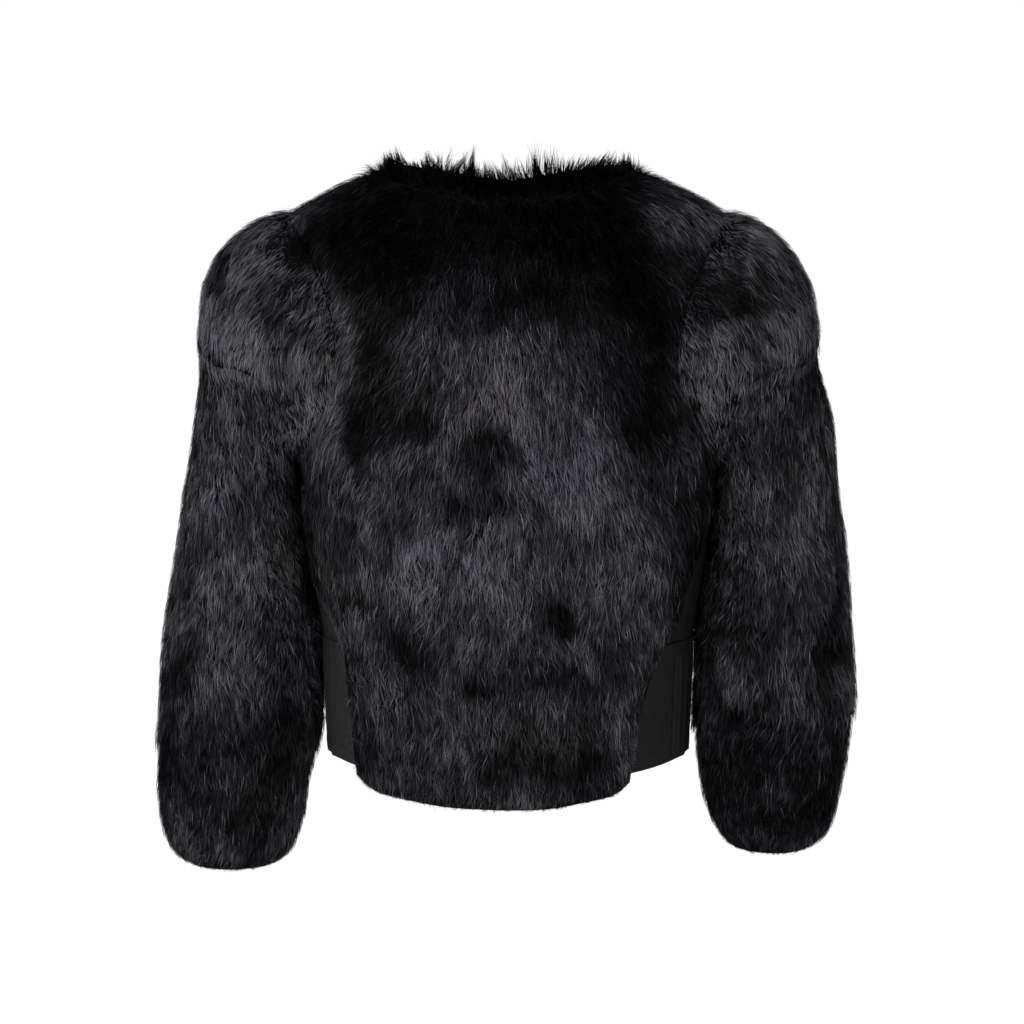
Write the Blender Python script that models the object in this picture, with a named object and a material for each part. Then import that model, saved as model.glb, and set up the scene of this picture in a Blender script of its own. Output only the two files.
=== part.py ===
"""A short, boxy jacket of black long-pile fur, filled out as if worn, arms hanging.

Frame: metres, +Z up. -Y is the jacket's back, +Y its front, and the wearer's left is at -X.
The origin is the middle of the neck opening, level with the neck points of the shoulder seams.

Every fur panel is one wall: its inner face is the skin side, and its outer face is where the pile ends.
The plain cloth panels under the arms are thin walls on the same skin surface.
Lengths in the tables and constants are millimetres, angles are degrees.
"""

import bisect
import math

import bmesh
import bpy
from mathutils import Vector, noise

MM = 0.001  # metres in a millimetre

# ---- driving dimensions ----
SEAM_PULL = 0.25  # each piece stops this short of a seam, so two pieces stand up to 0.5 apart
PILE = 14.0  # skin to the ends of the hair, on body and sleeves
NECK_PILE = 18.0  # the longer hair round the neck
NECK_PILE_DEPTH = 90.0  # the hair lengthens over this height below the neck
EDGE_PILE = 7.0  # hair height left at a free or cloth-side edge, where the pile rounds over
ROUND_OVER = 22.0  # width of that rounding
SEAM_FADE = 15.0  # locks and hollows fade out this close to a seam
LOCK_HEIGHT = 2.2  # the unevenness of the pile, which lies in locks
LOCK_SIZE = 42.0
LOCK_STRETCH = 0.6  # a lock is this much narrower than it is long
CLOTH = 2.4  # side panels and their turned hems

CLOTH_HEM = -543.0  # heights below the neck point
WAIST_SEAM = -428.0
UNDERARM = -272.0
SHOULDER_LEVEL = -40.0
FRONT_GAP = 1.5  # each front edge's distance from the centre line

ARMHOLE_SPREAD = 44.0  # half the angle that an armhole takes out of the body
RING_POINTS = 28  # points round a sleeve, and so on each armhole
SIDE_TOP_POINT = 12  # the armhole point where back, side panel and sleeve meet
SIDE_TOP_FADE = 3.0  # the hair rounds over to the side panel within this many armhole points
FIT_POINTS = 4.0  # a row is eased on to the armhole's edge within this many points
PANEL_COLUMNS = 24  # across the back
FRONT_COLUMNS = 12
CLOTH_COLUMNS = 18  # across a lower side panel
LOWER_ROWS = 5  # hem to waist seam
UPPER_ROWS = 6  # waist seam to where back, side panel and sleeve meet
NECK_ROWS = 4  # top of the armhole to the neck edge
CAP_ROWS = 6
SLEEVE_ROWS = 15
CUFF_ROWS = 7

FRINGE_FLARE = 3.0  # the hair that stands up past the neck edge leans out this far
FRINGE_PILE = 8.0
FRINGE_LEAN = 0.5  # how much the neck edge's own hair leans out over a flat shoulder
FRINGE_ROWS = 2

LEFT_EXTRA_LENGTH = 16.0  # the wearer's left sleeve hangs a little lower
EXTRA_LENGTH_FROM = -400.0  # and comes to that length below this height,
EXTRA_LENGTH_OVER = 200.0  # over this much of it
SLEEVE_PILE = 14.0
CUFF_RIM_PILE = 7.0
CUFF_RIM_RINGS = 4.0  # the hair shortens to the rim over this many rings
CAP_LIP = 8.5  # how far the shoulder cap's hair stands over the sleeve below it
SLEEVE_LIP = 4.0  # the same where the sleeve's hair falls over the cuff piece
INNER_FADE = 0.6  # the locks lie flat on the side of the sleeve that rests near the body
CUFF_RING_LEFT = 13.3  # sleeve rings, counted from the armhole, where sleeve and cuff piece meet
CUFF_RING_RIGHT = 12.9

# Body sections at the skin side. A level is the name of a ring, near its height below the arms: its height
# is given at the back, at the side and at the front.
BODY_COLUMNS = ("level", "back_z", "side_z", "front_z", "half_width", "back_depth", "front_depth", "square")
BODY = (
    (-576.0, -578.0, -570.0, -572.0, 167.5, 104.0, 102.0, 2.3),
    (-543.0, -553.0, -538.0, -544.0, 170.5, 104.5, 103.0, 2.3),
    (-500.0, -502.0, -499.0, -500.0, 172.5, 105.0, 104.0, 2.3),
    (-428.0, -428.0, -428.0, -428.0, 175.0, 107.0, 108.0, 2.35),
    (-385.0, -385.0, -385.0, -385.0, 181.5, 110.0, 112.0, 2.4),
    (-342.0, -342.0, -342.0, -342.0, 187.5, 114.0, 117.0, 2.4),
    (-272.0, -272.0, -272.0, -272.0, 192.0, 120.0, 119.0, 2.4),
    (-205.0, -205.0, -205.0, -228.0, 195.0, 121.0, 117.0, 2.4),
    (-140.0, -143.0, -137.0, -188.0, 195.0, 116.0, 113.0, 2.4),
    (-85.0, -92.0, -75.0, -152.0, 194.0, 105.0, 108.0, 2.3),
    (-62.0, -72.5, -54.0, -135.0, 192.5, 98.5, 104.0, 2.25),
    (-40.0, -54.0, -36.0, -119.0, 188.0, 91.0, 100.0, 2.2),
    (-30.0, -43.5, -30.0, -107.0, 174.0, 86.0, 95.0, 2.15),
    (-20.0, -33.0, -19.5, -95.0, 152.0, 81.0, 90.0, 2.1),
    (-10.0, -23.5, -10.0, -83.5, 129.0, 76.5, 84.5, 2.1),
    (0.0, -14.0, -1.0, -72.0, 105.0, 72.0, 79.0, 2.1),
)

# Where the fur panels end at the sides, as angles from the centre back or the centre front.
SIDE_SEAM_COLUMNS = ("level", "back_left", "back_right", "front")
SIDE_SEAM = (
    (-576.0, 50.0, 38.0, 50.0),
    (-500.0, 53.0, 41.0, 55.0),
    (-428.0, 55.0, 50.0, 62.0),
    (-405.0, 58.0, 56.0, 64.0),
    (-375.0, 69.0, 58.5, 66.5),
    (-342.0, 70.0, 64.0, 69.0),
    (-300.0, 70.5, 69.5, 70.0),
    (-260.5, 70.9, 70.9, 70.9),
)

# Sleeve rings at the ends of the hair. A ring runs from its outer point, away from the body, to its inner
# point, and its half depth is measured front to back about mid_y. Distances are from the centre plane.
SLEEVE_COLUMNS = (
    "outer_z", "inner_z", "outer_left", "outer_right", "inner_left", "inner_right", "half_depth", "mid_y",
)
SLEEVE = (
    (-30.0, -262.0, 223.0, 221.0, 197.0, 197.0, 101.0, -3.0),
    (-42.0, -258.0, 246.0, 243.0, 198.0, 198.0, 97.0, -2.0),
    (-60.0, -260.0, 266.0, 263.0, 198.5, 198.5, 92.0, 0.0),
    (-87.0, -266.0, 284.0, 281.0, 198.0, 198.0, 86.0, 1.0),
    (-120.0, -276.0, 286.0, 288.0, 197.0, 197.0, 80.0, 2.0),
    (-150.0, -292.0, 290.0, 290.0, 195.0, 195.5, 75.0, 3.0),
    (-185.0, -315.0, 292.0, 298.0, 193.2, 193.5, 71.0, 4.0),
    (-226.0, -345.0, 298.0, 309.0, 191.0, 191.5, 68.0, 6.0),
    (-284.0, -384.0, 307.5, 315.0, 185.6, 186.2, 68.0, 8.0),
    (-342.0, -420.0, 316.0, 323.0, 180.0, 181.0, 69.0, 10.0),
    (-400.0, -455.0, 326.0, 328.0, 177.8, 179.5, 71.0, 12.0),
    (-457.0, -490.0, 333.0, 332.5, 177.5, 179.0, 73.0, 15.0),
    (-514.0, -526.0, 337.5, 334.0, 181.5, 179.5, 73.0, 18.0),
    (-552.0, -556.0, 342.0, 330.0, 190.0, 182.0, 73.0, 20.0),
    (-588.0, -590.0, 341.0, 323.5, 195.0, 187.0, 70.0, 21.0),
    (-612.0, -613.0, 337.0, 319.0, 201.0, 195.0, 66.0, 22.0),
    (-628.0, -628.0, 331.0, 313.0, 207.0, 202.0, 60.0, 23.0),
    (-637.0, -637.0, 323.0, 305.0, 213.0, 208.0, 55.0, 23.0),
    (-642.0, -642.0, 314.0, 297.0, 220.0, 214.0, 49.0, 23.0),
)

# The fur's hem dips at the middle and rounds up at its corners. share is 0 at the middle and 1 at the corner.
HEM_COLUMNS = ("share", "back_z", "front_z")
HEM = (
    (0.0, -574.0, -568.0),
    (0.35, -572.5, -567.0),
    (0.6, -568.0, -566.0),
    (0.85, -564.0, -562.0),
    (1.0, -551.0, -552.0),
)

# How far hair stands up past the neck edge, at an angle from the centre back.
FRINGE_COLUMNS = ("angle", "rise")
FRINGE = (
    (0.0, 22.0),
    (30.0, 30.0),
    (60.0, 27.0),
    (90.0, 18.0),
    (135.0, 20.0),
    (180.0, 18.0),
)

# Where the shoulder cap ends: the ring at an angle from the sleeve's outer line.
CAP_END_COLUMNS = ("turn", "ring")
CAP_END = (
    (0.0, 6.3),
    (45.0, 6.0),
    (90.0, 3.8),
    (120.0, 1.6),
    (150.0, 0.9),
    (180.0, 0.8),
)

# Hollows where the pile parts or the fur folds, on the back and on each sleeve.
# On the back "across" is the distance from the centre back; on a sleeve it is the angle from its outer line.
DENT_COLUMNS = ("across", "z", "half_length", "half_width", "slant", "depth")
BACK_DENTS = (
    (-101.0, -459.0, 30.0, 11.0, 65.0, 7.0),
    (-147.0, -421.0, 20.0, 9.0, -50.0, 6.0),
    (42.0, -427.0, 24.0, 9.0, 10.0, 7.0),
    (-131.0, -257.0, 18.0, 15.0, 60.0, 5.0),
    (-72.0, -232.0, 16.0, 12.0, 70.0, 4.0),
    (-16.0, -282.0, 22.0, 13.0, 75.0, 5.0),
    (140.0, -262.0, 30.0, 13.0, 85.0, 5.0),
    (-19.0, -489.0, 18.0, 12.0, 20.0, 4.0),
    (72.0, -178.0, 22.0, 12.0, -70.0, 4.0),
    (-62.0, -330.0, 26.0, 10.0, 30.0, 4.0),
    (95.0, -350.0, 24.0, 10.0, -25.0, 4.0),
)
SLEEVE_DENTS = (
    (95.0, -492.0, 55.0, 14.0, 70.0, 6.0),
    (60.0, -252.0, 34.0, 13.0, 75.0, 5.0),
    (120.0, -372.0, 42.0, 12.0, 80.0, 5.0),
    (-80.0, -430.0, 45.0, 14.0, 70.0, 5.0),
    (-50.0, -300.0, 38.0, 13.0, 80.0, 4.0),
    (70.0, -590.0, 26.0, 13.0, 60.0, 5.0),
)

# Upright folds in the lower side panels: the angle from the centre back, and the height of the ridge.
CLOTH_FOLDS = ((68.0, 2.4), (78.0, 2.0), (104.0, 2.2))
CLOTH_FOLD_WIDTH = 3.2
FOLD_FADE = 30.0  # the folds die out over this length below the waist seam

FUR_COLOUR = (0.012, 0.012, 0.014, 1.0)
CLOTH_COLOUR = (0.016, 0.015, 0.014, 1.0)


# ---- curves through the tables ----
def column(table, columns, name):
    place = columns.index(name)
    return [row[place] for row in table]


def slopes(at, values):
    """Tangents of a smooth curve that does not swing past its own points."""
    steps = [(values[i + 1] - values[i]) / (at[i + 1] - at[i]) for i in range(len(at) - 1)]
    found = [steps[0]]
    for before, after in zip(steps, steps[1:]):
        level = before * after <= 0.0
        found.append(0.0 if level else 2.0 * before * after / (before + after))
    return [*found, steps[-1]]


class Curve:
    """A smooth curve through one column of a table."""

    def __init__(self, at, values):
        self.at = at
        self.values = values
        self.slopes = slopes(at, values)

    def __call__(self, place):
        place = min(max(place, self.at[0]), self.at[-1])
        i = min(bisect.bisect_right(self.at, place), len(self.at) - 1) - 1
        span = self.at[i + 1] - self.at[i]
        t = (place - self.at[i]) / span
        rise = t * t * (3.0 - 2.0 * t)
        leave = t * (1.0 - t) ** 2 * self.slopes[i] * span
        arrive = t * t * (t - 1.0) * self.slopes[i + 1] * span
        return self.values[i] + (self.values[i + 1] - self.values[i]) * rise + leave + arrive


def curves_of(table, columns, at):
    return {name: Curve(at, column(table, columns, name)) for name in columns}


BODY_CURVES = curves_of(BODY, BODY_COLUMNS, column(BODY, BODY_COLUMNS, "level"))
SIDE_CURVES = curves_of(SIDE_SEAM, SIDE_SEAM_COLUMNS, column(SIDE_SEAM, SIDE_SEAM_COLUMNS, "level"))
HEM_CURVES = curves_of(HEM, HEM_COLUMNS, column(HEM, HEM_COLUMNS, "share"))
FRINGE_CURVE = curves_of(FRINGE, FRINGE_COLUMNS, column(FRINGE, FRINGE_COLUMNS, "angle"))["rise"]
CAP_END_CURVE = curves_of(CAP_END, CAP_END_COLUMNS, column(CAP_END, CAP_END_COLUMNS, "turn"))["ring"]
SLEEVE_CURVES = curves_of(SLEEVE, SLEEVE_COLUMNS, list(range(1, len(SLEEVE) + 1)))


def ease(value):
    """0 below 0, 1 above 1, smooth between."""
    t = min(max(value, 0.0), 1.0)
    return t * t * (3.0 - 2.0 * t)


def evenly(start, end, count):
    """count + 1 values from start to end."""
    return [start + (end - start) * i / count for i in range(count + 1)]


# ---- the body's skin surface ----
def skin(angle, level):
    """A point of the skin side. angle is 0 at the centre back, 90 at the +X side and 180 at the front."""
    at = {name: curve(level) for name, curve in BODY_CURVES.items()}
    across, along = math.sin(math.radians(angle)), math.cos(math.radians(angle))
    square = at["square"]
    reach = (abs(across) ** square + abs(along) ** square) ** (-1.0 / square)
    end_z, depth = (at["back_z"], at["back_depth"]) if along > 0.0 else (at["front_z"], at["front_depth"])
    z = at["side_z"] + (end_z - at["side_z"]) * along * along
    return Vector((at["half_width"] * reach * across, -depth * reach * along, z))


def skin_normal(angle, level):
    """Outward normal of the skin surface."""
    small_angle, small_level = 0.5, 1.0
    level = min(max(level, BODY[0][0] + small_level), BODY[-1][0] - small_level)
    round_it = skin(angle + small_angle, level) - skin(angle - small_angle, level)
    up_it = skin(angle, level + small_level) - skin(angle, level - small_level)
    return round_it.cross(up_it).normalized()


def dent_at(dents, across, z):
    """How deep the listed hollows are at a place."""
    total = 0.0
    for row in dents:
        dent = dict(zip(DENT_COLUMNS, row))
        dx, dz = across - dent["across"], z - dent["z"]
        turn = math.radians(dent["slant"])
        along = (dx * math.cos(turn) + dz * math.sin(turn)) / dent["half_length"]
        beside = (dz * math.cos(turn) - dx * math.sin(turn)) / dent["half_width"]
        total += dent["depth"] * math.exp(-(along * along + beside * beside))
    return total


BACK_SEAMS = {-1: "back_left", 1: "back_right"}


def locks(point, depth):
    """How far the ends of the hair stand above or below their mean at a place. Locks are longer than wide."""
    scaled = Vector((point.x, point.y, point.z * LOCK_STRETCH)) / LOCK_SIZE
    return LOCK_HEIGHT * depth * noise.noise(scaled)


# ---- armholes ----
def armhole_place(number, side):
    """(angle, level) on the body of a numbered point of the armhole: 0 at the shoulder, then by the back."""
    turn = 2.0 * math.pi * number / RING_POINTS
    middle, half = (SHOULDER_LEVEL + UNDERARM) / 2.0, (SHOULDER_LEVEL - UNDERARM) / 2.0
    return side * (90.0 - ARMHOLE_SPREAD * math.sin(turn)), middle + half * math.cos(turn)


SIDE_TOP = armhole_place(SIDE_TOP_POINT, 1)[1]


def body_pile(level):
    """Hair height on the body, longer towards the neck."""
    return PILE + (NECK_PILE - PILE) * ease((level + NECK_PILE_DEPTH) / NECK_PILE_DEPTH)


def armhole_height(number, level):
    """Thickness at the armhole's edge, which thins out to the cloth panel under the arm."""
    above = abs(number - RING_POINTS / 2) - (RING_POINTS / 2 - SIDE_TOP_POINT)
    if above < 0.0:
        return CLOTH
    return EDGE_PILE + (body_pile(level) - EDGE_PILE) * ease((above + 0.5) / SIDE_TOP_FADE)


def armhole_wall(number, side):
    """(outer, inner) point of the armhole's edge, mitred between the body's wall and the sleeve's."""
    number %= RING_POINTS
    angle, level = armhole_place(number, side)
    height = armhole_height(number, level)
    normal = skin_normal(angle, level)
    outer = skin(angle, level) + normal * height
    point, centre = sleeve_ring_point(number, 1.0, side)
    radial = (point - centre).normalized()
    return outer, outer - (normal + radial) * (height / (1.0 + max(0.0, normal.dot(radial))))


def armhole_wall_in_cloth(number, side):
    """The same edge as the cloth panel has it, thin all along."""
    outer, inner = armhole_wall(number, side)
    share = CLOTH / armhole_height(number, armhole_place(number, side)[1])
    return inner + (outer - inner) * share, inner


# ---- walls ----
def pull_from(edge, neighbour):
    """The edge moved a little towards its neighbour, to leave room for the piece across the seam."""
    return [p + (q - p).normalized() * SEAM_PULL for p, q in zip(edge, neighbour)]


def pull_rows(rows, first, last):
    """Pulls the first or last row back from its seam."""
    rows = [list(row) for row in rows]
    if first:
        rows[0] = pull_from(rows[0], rows[1])
    if last:
        rows[-1] = pull_from(rows[-1], rows[-2])
    return rows


def pull_sides(rows, first, last):
    """Pulls the first or last column back from its seam."""
    turned = pull_rows(list(zip(*rows)), first, last)
    return [list(row) for row in zip(*turned)]


def material_of(name, colour, roughness):
    material = bpy.data.materials.get(name) or bpy.data.materials.new(name)
    material.use_nodes = True
    shader = material.node_tree.nodes["Principled BSDF"]
    shader.inputs["Base Color"].default_value = colour
    shader.inputs["Roughness"].default_value = roughness
    shader.inputs["Metallic"].default_value = 0.0
    return material


def fur():
    return material_of("fur", FUR_COLOUR, 0.55)


def cloth():
    return material_of("cloth", CLOTH_COLOUR, 0.85)


def add_quad(shape, a, b, c, d):
    """Two triangles over four corners, cut along the shorter diagonal, so that neighbours match."""
    if (a.co - c.co).length < (b.co - d.co).length:
        shape.faces.new((a, b, c))
        shape.faces.new((a, c, d))
    else:
        shape.faces.new((a, b, d))
        shape.faces.new((b, c, d))


def add_wall(name, outer, inner, ring, material):
    """One closed wall between two grids of points. Each row runs across the piece, or round it for a ring."""
    mesh = bpy.data.meshes.new(name)
    shape = bmesh.new()
    out, back = ([[shape.verts.new(p * MM) for p in row] for row in grid] for grid in (outer, inner))
    rows, across = len(outer), len(outer[0])
    for grid in (out, back):
        for j in range(rows - 1):
            for i in range(across if ring else across - 1):
                k = (i + 1) % across
                add_quad(shape, grid[j][i], grid[j][k], grid[j + 1][k], grid[j + 1][i])
    for j in (0, rows - 1):
        for i in range(across if ring else across - 1):
            k = (i + 1) % across
            add_quad(shape, out[j][i], out[j][k], back[j][k], back[j][i])
    for i in () if ring else (0, across - 1):
        for j in range(rows - 1):
            add_quad(shape, out[j][i], out[j + 1][i], back[j + 1][i], back[j][i])
    bmesh.ops.recalc_face_normals(shape, faces=shape.faces)
    shape.to_mesh(mesh)
    shape.free()
    mesh.shade_smooth()
    mesh.set_sharp_from_angle(angle=math.radians(50.0))
    mesh.materials.append(material)
    piece = bpy.data.objects.new(name, mesh)
    bpy.data.collections["fur_jacket"].objects.link(piece)
    return piece


# ---- body pieces ----
def panel_rows():
    """(level, armhole number or None, drop) of a fur panel's rows, from its hem to just under its neck edge.

    drop is how far the row has gone from its level towards the curved hem, which is 1 at the hem itself.
    """
    lower = [*evenly(CLOTH_HEM, WAIST_SEAM, LOWER_ROWS), *evenly(WAIST_SEAM, SIDE_TOP, UPPER_ROWS)[1:-1]]
    armhole = [(armhole_place(number, 1)[1], number, 0.0) for number in range(SIDE_TOP_POINT, -1, -1)]
    neck = evenly(SHOULDER_LEVEL, 0.0, NECK_ROWS)[1:-1]
    hem = [(CLOTH_HEM, None, drop) for drop in (1.0, 0.8, 0.45)]
    return hem + [(level, None, 0.0) for level in lower] + armhole + [(level, None, 0.0) for level in neck]


def towards_hem(level, drop, share, name):
    """The level of a row's point. share is 0 at the panel's middle and 1 at its side edge."""
    return level + (HEM_CURVES[name](share) - level) * drop


def panel_edge(level, number, seam):
    """Angle from the panel's own centre line to its side edge."""
    if number is not None:
        return 90.0 - ARMHOLE_SPREAD * math.sin(2.0 * math.pi * number / RING_POINTS)
    return seam(level) if level < SIDE_TOP else 90.0


def rounded(height, edge_distances):
    """Hair height near edges where the pile rounds over."""
    nearest = min(edge_distances)
    if nearest >= ROUND_OVER:
        return height
    share = 1.0 - max(nearest, 0.0) / ROUND_OVER
    return EDGE_PILE + (height - EDGE_PILE) * math.sqrt(1.0 - share * share)


def fringe(angle, climb, height, thick):
    """(outer, inner) of the hair that stands up past the neck edge. climb is 0 at the edge, 1 at the top."""
    base = skin(angle, 0.0)
    away = Vector((base.x, base.y, 0.0)).normalized()
    top = base + Vector((0.0, 0.0, FRINGE_CURVE(abs(angle)))) + away * FRINGE_FLARE
    normal = skin_normal(angle, 0.0)
    edge = base + (normal + away * normal.z * FRINGE_LEAN).normalized() * height
    return edge + (top + away * thick - edge) * climb, base + (top - base) * climb


def fit_armhole(row_out, row_in, place, number, side):
    """Moves one end of a panel's row on to the armhole's edge, and eases the points near it."""
    outer, inner = armhole_wall(number, side)
    near = len(row_in) - 1 if place else 0
    shift_out, shift_in = outer - row_out[near], inner - row_in[near]
    for i in range(len(row_in)):
        share = max(0.0, 1.0 - abs(i - near) / FIT_POINTS) ** 2
        row_out[i] = row_out[i] + shift_out * share
        row_in[i] = row_in[i] + shift_in * share


def add_back():
    outer, inner = [], []
    for level, number, drop in panel_rows():
        corner = towards_hem(level, drop, 1.0, "back_z")
        edges = {side: panel_edge(corner, number, SIDE_CURVES[name]) for side, name in BACK_SEAMS.items()}
        row_out, row_in = [], []
        for u in evenly(-1.0, 1.0, PANEL_COLUMNS):
            edge = edges[1 if u > 0.0 else -1]
            here = towards_hem(level, drop, abs(u), "back_z")
            base = skin(u * edge, here)
            from_side = (1.0 - abs(u)) * math.radians(edge) * base.xy.length
            beside_cloth = from_side if level < SIDE_TOP else ROUND_OVER
            height = rounded(body_pile(level), (base.z - HEM_CURVES["back_z"](abs(u)), beside_cloth))
            inside = ease(from_side / SEAM_FADE)
            height += locks(base, inside) - dent_at(BACK_DENTS, base.x, base.z) * inside
            row_out.append(base + skin_normal(u * edge, here) * height)
            row_in.append(base)
        if number is not None:
            fit_armhole(row_out, row_in, 0, number, -1)
            fit_armhole(row_out, row_in, 1, number, 1)
        outer.append(row_out)
        inner.append(row_in)
    for climb in evenly(0.0, 1.0, FRINGE_ROWS):
        angles = evenly(-90.0, 90.0, PANEL_COLUMNS)
        pairs = [fringe(angle, climb, NECK_PILE, FRINGE_PILE) for angle in angles]
        outer.append([pair[0] for pair in pairs])
        inner.append([pair[1] for pair in pairs])
    outer, inner = (pull_sides(grid, True, True) for grid in (outer, inner))
    add_wall("back", outer, inner, False, fur())


def add_front(name, side):
    """A front from its side seam to the opening. side is -1 for the wearer's left."""
    outer, inner = [], []
    for level, number, drop in panel_rows():
        corner = towards_hem(level, drop, 1.0, "front_z")
        edge = panel_edge(corner, number, SIDE_CURVES["front"])
        opening = math.degrees(FRONT_GAP / skin(180.0, level).xy.length)
        row_out, row_in = [], []
        for angle in evenly(edge, opening, FRONT_COLUMNS):
            here = towards_hem(level, drop, angle / edge, "front_z")
            base = skin(side * (180.0 - angle), here)
            from_side = math.radians(edge - angle) * base.xy.length
            beside_cloth = from_side if level < SIDE_TOP else ROUND_OVER
            from_hem = base.z - HEM_CURVES["front_z"](angle / edge)
            height = rounded(body_pile(level), (from_hem, beside_cloth, abs(base.x) - FRONT_GAP))
            height += locks(base, ease(from_side / SEAM_FADE) * ease(abs(base.x) / SEAM_FADE))
            row_out.append(base + skin_normal(side * (180.0 - angle), here) * height)
            row_in.append(base)
        if number is not None:
            fit_armhole(row_out, row_in, 0, RING_POINTS - number, side)
        outer.append(row_out)
        inner.append(row_in)
    opening = math.degrees(FRONT_GAP / skin(180.0, 0.0).xy.length)
    for climb in evenly(0.0, 1.0, FRINGE_ROWS):
        pairs = []
        for angle in evenly(90.0, opening, FRONT_COLUMNS):
            from_opening = math.radians(angle - opening) * skin(180.0, 0.0).xy.length
            height = rounded(NECK_PILE, (from_opening,))
            pairs.append(fringe(side * (180.0 - angle), climb, height, min(height, FRINGE_PILE)))
        outer.append([pair[0] for pair in pairs])
        inner.append([pair[1] for pair in pairs])
    outer, inner = (keep_off_centre(pull_sides(grid, True, False), side) for grid in (outer, inner))
    add_wall(name, outer, inner, False, fur())


def keep_off_centre(grid, side):
    """Holds every point on its own side of the front opening."""
    return [[Vector((side * max(side * p.x, FRONT_GAP), p.y, p.z)) for p in row] for row in grid]


def fold_height(angle):
    """Height of the upright folds of a lower side panel."""
    return sum(
        height * math.exp(-(((abs(angle) - place) / CLOTH_FOLD_WIDTH) ** 2)) for place, height in CLOTH_FOLDS
    )


def add_side_lower(name, side):
    """The cloth panel between waist seam and hem, with its upright folds."""
    back_seam = SIDE_CURVES[BACK_SEAMS[side]]
    outer, inner = [], []
    for level in evenly(CLOTH_HEM, WAIST_SEAM, LOWER_ROWS):
        angles = evenly(side * back_seam(level), side * (180.0 - SIDE_CURVES["front"](level)), CLOTH_COLUMNS)
        fade = ease((WAIST_SEAM - level) / FOLD_FADE)
        lifts = [0.0, *(fold_height(angle) * fade for angle in angles[1:-1]), 0.0]
        inner.append([skin(a, level) + skin_normal(a, level) * lift for a, lift in zip(angles, lifts)])
        thick = [lift + CLOTH for lift in lifts]
        outer.append([skin(a, level) + skin_normal(a, level) * lift for a, lift in zip(angles, thick)])
    outer, inner = (pull_sides(pull_rows(grid, False, True), True, True) for grid in (outer, inner))
    add_wall(name, outer, inner, False, cloth())


def add_side_upper(name, side):
    """The cloth panel from the waist seam up to the underarm, whose top follows the armhole."""
    back_seam = SIDE_CURVES[BACK_SEAMS[side]]
    numbers = range(SIDE_TOP_POINT, RING_POINTS - SIDE_TOP_POINT + 1)
    outer, inner = [], []
    for level in evenly(WAIST_SEAM, SIDE_TOP, UPPER_ROWS):
        climb = (level - WAIST_SEAM) / (SIDE_TOP - WAIST_SEAM)
        start, end = side * back_seam(level), side * (180.0 - SIDE_CURVES["front"](level))
        row_out, row_in = [], []
        for number in numbers:
            share = (number - numbers[0]) / (len(numbers) - 1)
            first, last = armhole_place(numbers[0], side)[0], armhole_place(numbers[-1], side)[0]
            top_angle, top_level = armhole_place(number, side)
            drift = top_angle - (first + (last - first) * share)
            angle = start + (end - start) * share + drift * climb
            height = WAIST_SEAM + (top_level - WAIST_SEAM) * climb
            base = skin(angle, height)
            row_out.append(base + skin_normal(angle, height) * CLOTH)
            row_in.append(base)
        outer.append(row_out)
        inner.append(row_in)
    top = [armhole_wall_in_cloth(number, side) for number in numbers]
    outer[-1] = [pair[0] for pair in top]
    inner[-1] = [pair[1] for pair in top]
    outer, inner = (pull_sides(pull_rows(grid, True, True), True, True) for grid in (outer, inner))
    add_wall(name, outer, inner, False, cloth())


# ---- sleeves ----
def sleeve_ring_point(number, ring, side):
    """A point at the ends of the hair, on a plain ring of the sleeve table, and the ring's own centre."""
    hand = "left" if side < 0 else "right"
    at = {name: curve(ring) for name, curve in SLEEVE_CURVES.items()}
    extra = LEFT_EXTRA_LENGTH if side < 0 else 0.0
    longer = extra * ease((EXTRA_LENGTH_FROM - at["outer_z"]) / EXTRA_LENGTH_OVER)
    top = Vector((side * at["outer_" + hand], at["mid_y"], at["outer_z"] - longer))
    low = Vector((side * at["inner_" + hand], at["mid_y"], at["inner_z"] - longer))
    centre = (top + low) / 2.0
    turn = 2.0 * math.pi * number / RING_POINTS
    depth = Vector((0.0, -at["half_depth"], 0.0))
    return centre + (top - low) / 2.0 * math.cos(turn) + depth * math.sin(turn), centre


def sleeve_wall(number, ring, side, lip=0.0):
    """(outer, inner) of the sleeve's wall at a ring. Before ring 1 it is blended into the armhole's edge."""
    point, centre = sleeve_ring_point(number, max(ring, 1.0), side)
    way = (centre - point).normalized()
    last = len(SLEEVE)
    rim = ease((ring - last + CUFF_RIM_RINGS) / CUFF_RIM_RINGS)
    height = SLEEVE_PILE + (CUFF_RIM_PILE - SLEEVE_PILE) * rim
    turn = 360.0 * number / RING_POINTS
    turn = turn - 360.0 if turn > 180.0 else turn
    inner_side = ease((1.0 + math.cos(math.radians(turn))) / INNER_FADE)
    settled = ease(ring - 1.0) * (1.0 - rim) * inner_side
    mark = (dent_at(SLEEVE_DENTS, turn, point.z) - locks(point, 1.0)) * settled
    outer = point - way * (lip - mark)
    inner = point + way * height
    if ring >= 1.0:
        return outer, inner
    edge_out, edge_in = armhole_wall(number, side)
    return edge_out + (outer - edge_out) * ring, edge_in + (inner - edge_in) * ring


def cap_end(number):
    """The ring where the shoulder cap ends: far down the outer side, close to the armhole under the arm."""
    return CAP_END_CURVE(min(number, RING_POINTS - number) * 360.0 / RING_POINTS)


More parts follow.
